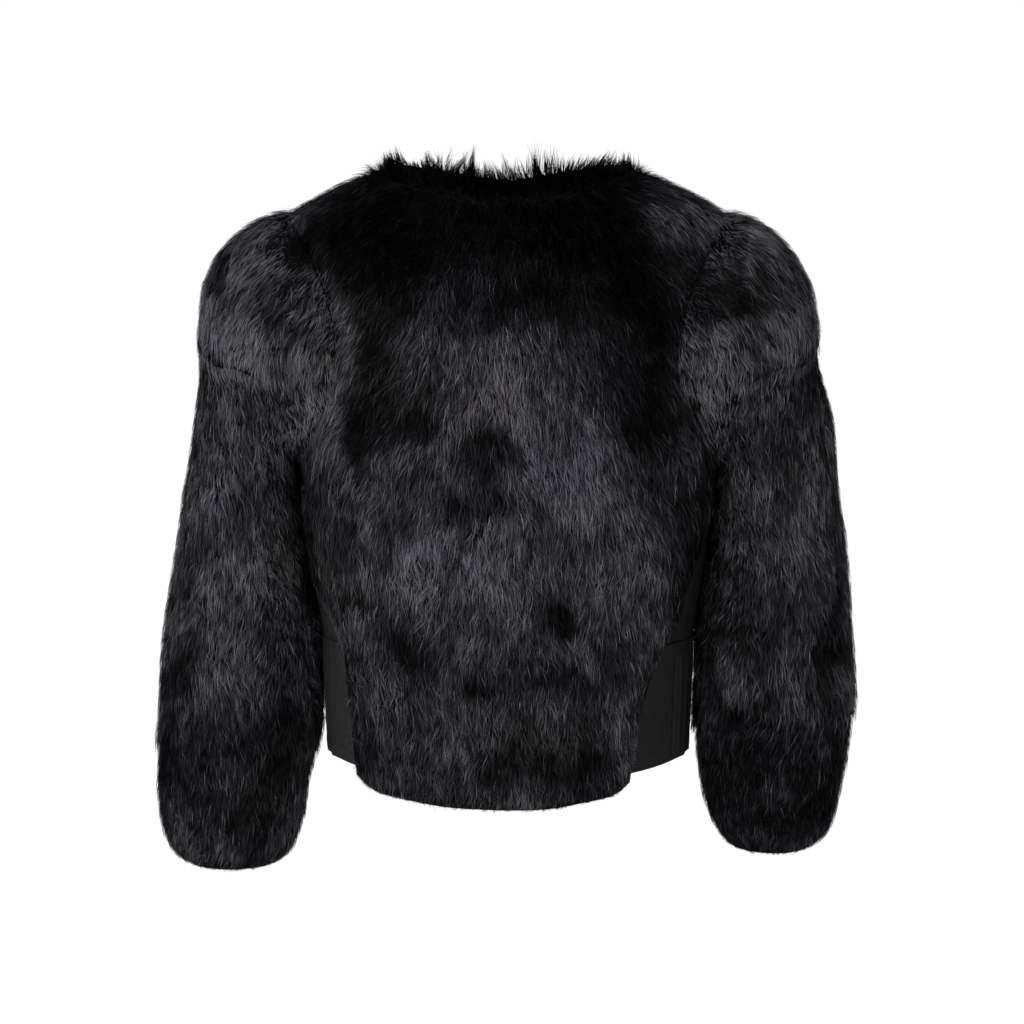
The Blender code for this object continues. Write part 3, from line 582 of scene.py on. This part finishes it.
def woven_material(name, dark, light, roughness, specular):
    """Cloth of crossing threads: two sets of fine bands that bump it, and slubs that shade it."""
    material, nodes, links, shader = material_with_nodes(name, roughness, specular)
    place = nodes.new("ShaderNodeTexCoord")
    threads = []
    for axis, scale in (("Z", 420.0), ("DIAGONAL", 600.0)):
        bands = nodes.new("ShaderNodeTexWave")
        bands.wave_type = "BANDS"
        bands.bands_direction = axis
        bands.inputs["Scale"].default_value = scale
        bands.inputs["Distortion"].default_value = 0.6
        bands.inputs["Detail"].default_value = 1.0
        links.new(place.outputs["Object"], bands.inputs["Vector"])
        threads.append(bands)
    both = nodes.new("ShaderNodeMath")
    both.operation = "ADD"
    for bands, socket in zip(threads, both.inputs):
        links.new(bands.outputs["Fac"], socket)
    slubs = nodes.new("ShaderNodeTexNoise")
    slubs.inputs["Scale"].default_value = 260.0
    slubs.inputs["Detail"].default_value = 4.0
    links.new(place.outputs["Object"], slubs.inputs["Vector"])
    shades = nodes.new("ShaderNodeValToRGB")
    set_ramp(shades, ((0.35, dark), (0.65, light)))
    links.new(slubs.outputs["Fac"], shades.inputs["Fac"])
    links.new(shades.outputs["Color"], shader.inputs["Base Color"])
    bump = nodes.new("ShaderNodeBump")
    bump.inputs["Strength"].default_value = 0.5
    bump.inputs["Distance"].default_value = 0.0003
    links.new(both.outputs[0], bump.inputs["Height"])
    links.new(bump.outputs["Normal"], shader.inputs["Normal"])
    return material


# ---- how the hair lies ----
def turn_about(v, axis, angle):
    """v turned about axis, for v square to axis."""
    return v * np.cos(angle) + np.cross(axis, v) * np.sin(angle)


def neck_edge(points):
    """How far out a place is, 1 being the neck edge, and that edge's height on that side."""
    x, y, _ = points.T
    away = np.hypot(x / NECK_RADII[0], y / NECK_RADII[1])
    along = np.clip(np.abs(y / NECK_RADII[1]) / np.maximum(away, 1e-6), 0.0, 1.0) ** 2
    return away, NECK_TOP - np.where(y < 0.0, NECK_BACK_DROP, NECK_FRONT_DROP) * along


def neck_closeness(points, name):
    """1 where the hair stands up round the neck edge, 0 away from it and on the sleeves."""
    if on_sleeve(name):
        return np.zeros((len(points), 1))
    away, edge = neck_edge(points)
    inside = ease((NECK_OUT - away) / NECK_OUT_FADE)
    above = ease((points[:, 2] - edge + NECK_DOWN) / NECK_DOWN_FADE)
    return (inside * above)[:, None]


def lean_of(points, name):
    """How far the hair leans outwards from straight down: most on the shoulders, and a little lower down."""
    x, _, z = np.abs(points.T)
    lean, added = (SLEEVE_LEAN, SLEEVE_ADDED) if on_sleeve(name) else (BODY_LEAN, BODY_ADDED)
    for more, depth, over in added:
        lean = lean + more * ease((depth - z) / over)
    return lean if on_sleeve(name) else lean * ease((x - MIDDLE_HALF) / MIDDLE_FADE)


def lie_of(points, normals, name):
    """The way the hair lies. On top of the shoulders it runs outwards and away from the ridge."""
    lean = np.radians(lean_of(points, name)) * np.sign(points[:, 0])
    from_ridge = np.clip(points[:, 1] / RIDGE_HALF, -1.0, 1.0) * ease(normals[:, 2] / 0.6) * RIDGE_LEAN
    way = np.stack([np.sin(lean), from_ridge * np.cos(lean), -np.cos(lean)], 1)
    lie = unit(way - normals * dot(way, normals))
    swirl = SWIRL_WIDE(points) * math.radians(TURN_WIDE) + SWIRL_FINE(points) * math.radians(TURN_FINE)
    lie = turn_about(lie, normals, swirl)
    near = neck_closeness(points, name)
    up = unit(points * (1.0, 1.0, 0.0)) * NECK_LEAN + (0.0, 0.0, 1.0)
    up[:, 0] += NECK_SWAY(points)[:, 0] * NECK_SPREAD
    return unit(lie * (1.0 - near) + unit(up) * near)


def warped(points):
    """Places moved about a little, which gives patches ragged edges."""
    wide, fine = (np.hstack([field(points) for field in fields]) for fields in (WARP_WIDE, WARP_FINE))
    return points + wide * WARP_WIDE_REACH + fine * WARP_FINE_REACH


def tone_of(points, name):
    """How light the fur is at a place: a mottle, partly the fur's own uneven tone, and patches of painted
    light and shade.
    """
    at = warped(points)
    tall = at * (1.0, 1.0, 0.6)
    mottle = MOTTLE_WIDE * TONE_WIDE(at) + MOTTLE_MIDDLE * TONE_MIDDLE(tall) + MOTTLE_FINE * TONE_FINE(tall)
    tone = PILE[name][1] + mottle[:, 0]
    behind = ease((SIDES_BLEND - at[:, 1]) / (2.0 * SIDES_BLEND))
    for patches, share in ((BACK_LIGHT_AND_SHADE_PATCHES, behind), (FRONT_LIGHT_AND_SHADE_PATCHES, 1.0 - behind)):
        for x, z, wide, high, turn, lighter in patches:
            dx, dz = at[:, 0] / MM - x, at[:, 2] / MM - z
            c, s = math.cos(math.radians(turn)), math.sin(math.radians(turn))
            far = ((dx * c + dz * s) / wide) ** 2 + ((dz * c - dx * s) / high) ** 2
            tone += lighter * share * np.exp(-(far**PATCH_EDGE))
    return tone


class Roots:
    """Where a panel's strands start, the way they lie, and the lock that each belongs to."""

    def __init__(self, wall, count, rng, cloth):
        faces = np.flatnonzero(wall.grown)
        chosen = faces[rng.choice(len(faces), count, p=wall.areas[faces] / wall.areas[faces].sum())]
        a, b = np.sqrt(rng.random(count)), rng.random(count)
        weights = np.stack([1.0 - a, a * (1.0 - b), a * b], 1)[:, :, None]
        tris = wall.tris[chosen]
        self.ends = (wall.points[tris] * weights).sum(1)
        self.roots = (wall.undercoat_points[tris] * weights).sum(1)
        self.normals = unit((wall.normals[tris] * weights).sum(1))
        self.height = np.linalg.norm(self.ends - self.roots, axis=1, keepdims=True)
        self.near = neck_closeness(self.ends, wall.name)
        self.locks = max(4, int(wall.areas[faces].sum() / LOCK_AREA))
        self.heads = rng.choice(count, self.locks, replace=False)
        tree = points_tree(self.ends[self.heads])
        self.lock = np.array([tree.find(p)[1] for p in self.ends])
        lie = lie_of(self.ends, self.normals, wall.name)
        _, _, far = nearest(cloth, self.ends[self.heads])
        beside = ease((BESIDE_CLOTH - far) / BESIDE_CLOTH_FADE)[self.lock][:, None]
        spread = LOCK_TURN + NECK_LOCK_TURN * self.near + CLOTH_LOCK_TURN * beside
        turned = np.radians(self.of_lock(rng, 0.0, 1.0) * spread + rng.normal(0.0, STRAND_TURN, (count, 1)))
        self.fluff = faces_body(self.ends, self.normals, wall.name)
        self.lie = unit(turn_about(lie, self.normals, turned))
        tone = tone_of(self.ends + self.lie * PILE[wall.name][0] * SHADE_AT, wall.name)
        self.tone = (tone + tone[self.heads][self.lock]) / 2.0 + self.of_lock(rng, 0.0, LOCK_CONTRAST)[:, 0]

    def of_lock(self, rng, mean, spread):
        """A random value that all strands of a lock share."""
        return rng.normal(mean, spread, (self.locks, 1))[self.lock]


def tuft_reach(points):
    """How far the tufts at the neck reach past the solids, at each place."""
    at, reach = np.array(NECK_TUFTS).T
    return np.where(points[:, 1] < 0.0, np.interp(points[:, 0] / MM, at, reach), FRONT_TUFTS)[:, None] * MM


def kept_close(tips, middles, at, allowed, rng, solids):
    """Tips and middles, with tips no further out of the solids than allowed, and none sunk deep in them."""
    there, facing, far = nearest(solids, tips)
    outside = dot(tips - there, facing)[:, 0] > 0.0
    over = np.where(outside, np.maximum(far / allowed, 1.0), 1.0)[:, None]
    kept = there + (tips - there) / over
    sunk = (~outside & (far > SUNK) & (dot(facing, at.normals)[:, 0] > 0.2))[:, None]
    kept = np.where(sunk, there - facing * SUNK * rng.random((len(tips), 1)), kept)
    middles = middles + (kept - tips) * np.where(sunk, 0.6, np.clip(over - 1.0, 0.0, 1.0) * 0.2)
    return kept, middles


def grow(wall, count, rng, solids, cloth):
    """Where the strands start, their middles and tips, and which of them are guard hairs."""
    at = Roots(wall, count, rng, cloth)
    guard = rng.random((count, 1)) < GUARD_SHARE
    spread = rng.uniform(*STRAND_LENGTHS, (count, 1))
    length = PILE[wall.name][0] * at.of_lock(rng, 1.0, LOCK_LENGTHS) * spread * (1.0 + GUARD_LENGTH * guard)
    full = np.clip(at.height / FULL_LENGTH_DEPTH, 0.0, 1.0)
    length = length * (THINNEST_LENGTH + (1.0 - THINNEST_LENGTH) * full)
    uneven = 0.95 + 0.10 * LIFT_FIELD(at.ends) + at.of_lock(rng, 0.0, LOCK_RISES)
    rise = at.height * np.clip(uneven, 0.5, 1.2) * rng.uniform(*STRAND_RISES, (count, 1))
    rise = rise + GUARD_RISE * guard + UNDERARM_FLUFF * at.fluff

    tufts = tuft_reach(at.ends)
    neck_length = np.maximum(NECK_LENGTH + tufts, NECK_SHORTEST)
    neck_length = neck_length * np.clip(at.of_lock(rng, 1.0, NECK_LOCK_LENGTHS), 0.5, 1.6) * spread
    length = length + (neck_length - length) * at.near
    rise = rise + (NECK_RISE - rise) * at.near

    middles = at.roots + at.normals * rise * BEND_RISE + at.lie * length * BEND_ALONG
    tips = at.roots + at.normals * rise + at.lie * length
    pull = LOCK_PULL + (NECK_LOCK_PULL - LOCK_PULL) * at.near
    pull = pull * rng.uniform(*STRAND_PULLS, (count, 1)) * (1.0 - GUARD_PULL * guard)
    head = at.heads[at.lock]
    tips, middles = tips + (tips[head] - tips) * pull, middles + (middles[head] - middles) * pull * 0.35

    past = PAST_EDGE * rng.uniform(*STRAND_PASTS, count) * (1.0 + GUARD_PAST * guard[:, 0])
    reach = NECK_PAST_EDGE + np.maximum(tufts[:, 0], 0.0) - PAST_EDGE
    allowed = past + reach * at.near[:, 0] + UNDERARM_FLUFF * at.fluff[:, 0]
    tips, middles = kept_close(tips, middles, at, allowed, rng, solids)
    return at, middles, tips, guard


def by_corner(long_count, long_values, short_values):
    """Values in the order of the strands' points: each long strand's five, then each short one's three."""
    shape = (-1, *long_values[0].shape[1:])
    long_part = np.stack(long_values, 1)[:long_count].reshape(shape)
    short_part = np.stack(short_values, 1)[long_count:].reshape(shape)
    return np.concatenate([long_part, short_part])


def strand_triangles(long_count, short_count):
    """Three triangles for each long strand and one for each short one."""
    base = np.arange(long_count)[:, None] * 5
    long_tris = np.concatenate([base + (0, 1, 3), base + (0, 3, 2), base + (2, 3, 4)], 1).reshape(-1, 3)
    short_tris = np.arange(short_count)[:, None] * 3 + long_count * 5 + (0, 1, 2)
    return np.concatenate([long_tris, short_tris])


def turned_out(tris, points, normals):
    """The triangles, wound so that each faces the way of its points' normals."""
    corners = points[tris]
    facing = np.cross(corners[:, 1] - corners[:, 0], corners[:, 2] - corners[:, 0])
    wrong = (facing * normals[tris].mean(1)).sum(1) < 0.0
    tris[wrong] = tris[wrong][:, [0, 2, 1]]
    return tris


def add_strands(name, wall, counts, rng, material, trees):
    """A joined mesh of flat, tapering strands: long ones of three triangles, and short ones of one."""
    long_count, short_count = counts
    count = long_count + short_count
    at, middles, tips, guard = grow(wall, count, rng, *trees)
    roots = at.roots - at.normals * ROOT_DEPTH
    is_long = np.arange(count)[:, None] < long_count
    tips = np.where(is_long, tips, roots + (tips - roots) * SHORT_LENGTH)
    way = unit(tips - roots)
    across = unit(np.cross(way, at.normals))
    roll = rng.normal(0.0, math.radians(STRAND_ROLL), (count, 1))
    across = across * np.cos(roll) + np.cross(way, across) * np.sin(roll)
    width = np.where(is_long, LONG_WIDTH, SHORT_WIDTH) * rng.uniform(*STRAND_WIDTHS, (count, 1))
    half = across * width * (1.0 - GUARD_THINNER * guard) / 2.0
    face = np.cross(across, way)
    face = face * np.sign(dot(face, at.normals))
    soft = unit(face * 0.6 + at.normals * 0.7)
    left, right = unit(soft - across * 0.55), unit(soft + across * 0.55)
    low = roots - half, roots + half
    high = middles - half * BEND_WIDTH, middles + half * BEND_WIDTH

    shade = at.tone + NECK_PAINTED_SHADE * at.near[:, 0] + rng.normal(0.0, STRAND_CONTRAST, count)
    shade = shade + GUARD_SHADE * guard[:, 0]
    root, middle, tip = (np.clip(shade + lighter, 0.01, 0.99) for lighter in (ROOT_PAINTED_SHADE, 0.0, TIP_SHADE))
    hue = HUE + HUE_PATCHES * HUE_FIELD(at.ends)[:, 0] + rng.normal(0.0, HUE_STRANDS, count)
    hue = np.clip(hue, 0.02, 0.98)
    cool, warm = hue - UV_BAND, hue + UV_BAND
    points = by_corner(long_count, (*low, *high, tips), (*low, tips))
    normals = by_corner(long_count, (left, right, left, right, soft), (left, right, soft))
    us = by_corner(long_count, (root, root, middle, middle, tip), (root, root, tip))
    vs = by_corner(long_count, (cool, warm, cool, warm, hue), (cool, warm, hue))
    tris = turned_out(strand_triangles(long_count, short_count), points, normals)

    made = mesh_object(name, points, tris, [material])
    layer = made.data.uv_layers.new(name="OFBake")
    uv = np.stack([us[tris.ravel()], vs[tris.ravel()]], 1)
    layer.data.foreach_set("uv", uv.astype(np.float32).ravel())
    made.data.normals_split_custom_set_from_vertices(normals.tolist())
    return made


def add_fur():
    strands, undercoat = strand_material(), undercoat_material()
    backing = woven_material("backing", (0.010, 0.010, 0.010), (0.018, 0.018, 0.018), 0.8, 0.2)
    points, tris, owners = all_solids()
    trees = tree_of(points, tris), tree_of(points, tris[owners >= len(PILE)])
    walls = []
    for number, name in enumerate(PILE):
        walls.append(Wall(name, tree_of(points, tris[owners != number])))
    surface = points_tree(np.concatenate([wall.centres for wall in walls]))
    crosses = np.concatenate([wall.crosses for wall in walls])
    for wall in walls:
        wall.blend_normals(surface, crosses)
    whole = sum(wall.areas[wall.grown].sum() for wall in walls)
    sparse = 1.0
    for number, wall in enumerate(walls):
        rng = np.random.default_rng(SEED + number)
        wall.undercoat_points = wall.undercoat()
        shell = mesh_object(wall.name + "_wall", wall.undercoat_points, wall.tris, [undercoat, backing])
        shell.data.polygons.foreach_set("material_index", wall.inner.astype(np.int32))
        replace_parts(show(shell), wall.name)
        share = sparse * wall.areas[wall.grown].sum() / whole
        counts = [int(LONG_STRANDS * share), int(SHORT_STRANDS * share)]
        batches = math.ceil((counts[0] * 3 + counts[1]) / PIECE_TRIANGLES)
        for batch in range(batches):
            name = wall.name + "_pile" + (f"_{batch + 1}" if batches > 1 else "")
            pile = add_strands(name, wall, [c // batches for c in counts], rng, strands, trees)
            show(pile)


# ---- cloth ----
def refined(points, tris):
    """The same surface with each triangle cut into four."""
    edges = np.sort(np.stack([tris[:, [0, 1]], tris[:, [1, 2]], tris[:, [2, 0]]], 1).reshape(-1, 2), 1)
    pairs, index = np.unique(edges, axis=0, return_inverse=True)
    a, b, c = tris.T
    ab, bc, ca = (index.reshape(-1, 3) + len(points)).T
    quarters = ((a, ab, ca), (ab, b, bc), (ca, bc, c), (ab, bc, ca))
    return np.concatenate([points, points[pairs].mean(1)]), np.concatenate([np.stack(q, 1) for q in quarters])


def sides_of(points, tris, name):
    """Which vertices lie inside the outer side and the inner side, off the panel's rim."""
    corners = points[tris]
    cross = np.cross(corners[:, 1] - corners[:, 0], corners[:, 2] - corners[:, 0])
    centres = corners.mean(1)
    facing = dot(unit(cross), unit(centres - middle_of(centres, name)))[:, 0]
    touched = np.zeros((3, len(points)), bool)
    sides = facing > SIDE_FACING, facing < -SIDE_FACING, np.abs(facing) <= SIDE_FACING
    for row, which in enumerate(sides):
        touched[row, tris[which].ravel()] = True
    outer, inner, rim = touched
    return outer & ~inner & ~rim, inner & ~outer & ~rim


def vertex_normals(points, tris):
    corners = points[tris]
    cross = np.cross(corners[:, 1] - corners[:, 0], corners[:, 2] - corners[:, 0])
    total = np.zeros_like(points)
    for corner in range(3):
        np.add.at(total, tris[:, corner], cross)
    return unit(total)


def smoothed(points, tris, free):
    """The surface with its free vertices drawn to the middle of their neighbours, a few times over."""
    edges = np.concatenate([tris[:, [0, 1]], tris[:, [1, 2]], tris[:, [2, 0]]])
    count = np.bincount(edges[:, 0], minlength=len(points))[:, None]
    for _ in range(SMOOTHING):
        total = np.zeros_like(points)
        np.add.at(total, edges[:, 0], points[edges[:, 1]])
        points = np.where(free[:, None], (points + total / np.maximum(count, 1)) / 2.0, points)
    return points


def angle_of(points):
    """Degrees round the body from the centre back."""
    return np.degrees(np.arctan2(np.abs(points[:, 0]), -points[:, 1]))


def hem_line(points):
    """The height of a lower panel's bottom edge, as a function of the angle round the body."""
    low = points[points[:, 2] < points[:, 2].max() - LOWER_PANEL]
    order = np.argsort(angle_of(low))
    at, height = angle_of(low)[order], low[order, 2]
    return lambda angle: np.interp(angle, at, height)


def crease_heights(points, name, hem):
    """How far the creases and the turned hem lift the cloth, in mm."""
    angle, z = angle_of(points), points[:, 2] / MM
    round_it = np.hypot(points[:, 0], points[:, 1]) / MM
    lift = np.zeros(len(points))
    for place, top, bottom, half_width, height, wander in CREASES[name]:
        along = np.clip((top - z) / (top - bottom), 0.0, 1.0)
        beside = np.radians(angle - place - wander * np.sin(CREASE_SWAY * along)) * round_it / half_width
        fade = ease((top - z) / CREASE_FADE) * ease((z - bottom) / CREASE_FADE)
        lift += height * np.exp(-(beside**2)) * fade
    if hem:
        above = z - hem(angle) / MM - HEM_STITCHES
        lift += HEM_LIFT * (ease(0.5 - above / HEM_STEP) - np.exp(-((above / STITCH_DIP) ** 2)))
    return lift


def stitch_seats(points, tris, hem):
    """Places along the hem where one stitch ends and the next starts, with the cloth's normals there."""
    tree = tree_of(points, tris)
    angle, end = angle_of(points).min() + SEATS_FROM_ENDS, angle_of(points).max() - SEATS_FROM_ENDS
    side = np.sign(points[0, 0])
    seats = []
    while angle < end:
        turn = math.radians(angle)
        out = Vector((side * math.sin(turn), -math.cos(turn), 0.0))
        start = out * 0.3 + Vector((0.0, 0.0, float(hem(angle)) + HEM_STITCHES * MM))
        hit, normal, _, _ = tree.ray_cast(start, -out)
        radius = 0.15
        if hit is not None:
            seats.append((np.array(hit), np.array(normal)))
            radius = math.hypot(hit.x, hit.y)
        angle += math.degrees(STITCH * MM / radius)
    return seats


def stitches(points, tris, hem):
    """Threads laid end to end along the hem, as points and triangles."""
    seats = stitch_seats(points, tris, hem)
    made, faces = [], []
    around = np.linspace(0.0, 2.0 * math.pi, THREAD_SIDES + 1)[:-1]
    last_ring = (len(STITCH_RINGS) - 1) * THREAD_SIDES
    for (a, normal), (b, _) in zip(seats, seats[1:]):
        way = unit(b - a)
        beside = unit(np.cross(way, normal))
        middle = (a + b) / 2.0
        base = len(made) * THREAD_SIDES
        for along, thick in STITCH_RINGS:
            centre = middle + way * along * STITCH_LENGTH * MM + normal * THREAD * MM * (thick - 0.6)
            rim = np.cos(around)[:, None] * beside + np.sin(around)[:, None] * normal
            made.append(centre + rim * THREAD * MM * thick)
        for low in range(base, base + last_ring, THREAD_SIDES):
            for i in range(THREAD_SIDES):
                k, high = (i + 1) % THREAD_SIDES, low + THREAD_SIDES
                faces += [(low + i, low + k, high + k), (low + i, high + k, high + i)]
        for i in range(1, THREAD_SIDES - 1):
            faces.append((base, base + i + 1, base + i))
            faces.append((base + last_ring, base + last_ring + i, base + last_ring + i + 1))
    return np.concatenate(made), np.array(faces)


def add_cloth():
    """The woven side panels, each a thin shell on its solid with creases, a turned hem and its stitches."""
    # One cloth in two shades: the left panels lighter, painted light where they face the key lamp, the right
    # ones darker, painted shade where the sleeve hides them.
    materials = {
        "left": woven_material("cloth_left_painted_lit", (0.0115, 0.0111, 0.0106), (0.0182, 0.0177, 0.0170), 0.6, 0.10),
        "right": woven_material("cloth_right_painted_shade", (0.0038, 0.0035, 0.0033), (0.0066, 0.0060, 0.0056), 0.5, 0.08),
    }
    thread, _, _, shader = material_with_nodes("thread", 0.6, 0.2)
    shader.inputs["Base Color"].default_value = (0.010, 0.010, 0.010, 1.0)
    for name in CLOTH:
        points, tris = read_node(name)
        hem = hem_line(points) if "lower" in name else None
        for _ in range(CLOTH_CUTS):
            points, tris = refined(points, tris)
        outer, inner = sides_of(points, tris, name)
        points = smoothed(points, tris, outer | inner)
        rim = points_tree(points[~outer & ~inner])
        from_rim = np.array([rim.find(place)[2] for place in points]) / MM
        lift = crease_heights(points, name, hem) * ease(from_rim / RIM_FADE)
        way = vertex_normals(points, tris) * (outer * 1.0 - inner * 1.0)[:, None]
        points = points + way * lift[:, None] * MM
        panel = mesh_object(name + "_cloth", points, tris, [materials[name.split("_")[-1]]])
        panel.data.set_sharp_from_angle(angle=math.radians(CLOTH_SHARP))
        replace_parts(show(panel), name)
        if hem:
            seam = mesh_object(name + "_stitches", *stitches(points, tris, hem), [thread])
            show(seam)


# ---- camera, light and floor ----
CAMERA_TARGET = Vector((0.0038, 0.0, -0.3136))
CAMERA_ELEVATION = 9.0
CAMERA_DISTANCE = 2.7
CAMERA_LENS, CAMERA_SENSOR = 99.9, 36.0
# The lights' places, sizes and powers.
LIGHTS = {
    "key": ((-1.5, -1.9, 1.1), 0.9, 30.0),
    "fill": ((1.3, -2.2, 0.4), 1.0, 12.0),
}
LIGHTS_TARGET = Vector((0.0, 0.0, -0.3))
WORLD_STRENGTH = 1.04
FLOOR_HALF, FLOOR_HEIGHT = 30.0, -1.42


def aimed(name, data, place, target):
    """A new object at a place, looking at the target."""
    made = bpy.data.objects.new(name, data)
    made.location = place
    made.rotation_euler = (target - Vector(place)).to_track_quat("-Z", "Y").to_euler()
    bpy.context.scene.collection.objects.link(made)
    return made


def add_camera():
    camera = bpy.data.cameras.new("camera")
    camera.sensor_width = CAMERA_SENSOR
    camera.lens = CAMERA_LENS
    rise = math.radians(CAMERA_ELEVATION)
    place = CAMERA_TARGET + Vector((0.0, -math.cos(rise), math.sin(rise))) * CAMERA_DISTANCE
    bpy.context.scene.camera = aimed("camera", camera, place, CAMERA_TARGET)


def add_stage():
    """A white world, two soft lights and a pale floor."""
    scene = bpy.context.scene
    scene.view_settings.view_transform = "Standard"
    world = bpy.data.worlds.new("studio")
    scene.world = world
    world.use_nodes = True
    back = world.node_tree.nodes["Background"]
    back.inputs["Color"].default_value = (1.0, 1.0, 1.0, 1.0)
    back.inputs["Strength"].default_value = WORLD_STRENGTH
    for name, (place, size, power) in LIGHTS.items():
        light = bpy.data.lights.new(name, "AREA")
        light.shape = "DISK"
        light.size = size
        light.energy = power
        aimed(name, light, place, LIGHTS_TARGET)

    material, _, _, shader = material_with_nodes("floor", 0.9, 0.2)
    shader.inputs["Base Color"].default_value = (0.97, 0.97, 0.97, 1.0)
    ways = ((-1, -1), (1, -1), (1, 1), (-1, 1))
    corners = [(x * FLOOR_HALF, y * FLOOR_HALF, FLOOR_HEIGHT) for x, y in ways]
    mesh_object("floor", corners, np.array([[0, 1, 2, 3]]), [material], smooth=False)


add_camera()
add_stage()
add_cloth()
add_fur()
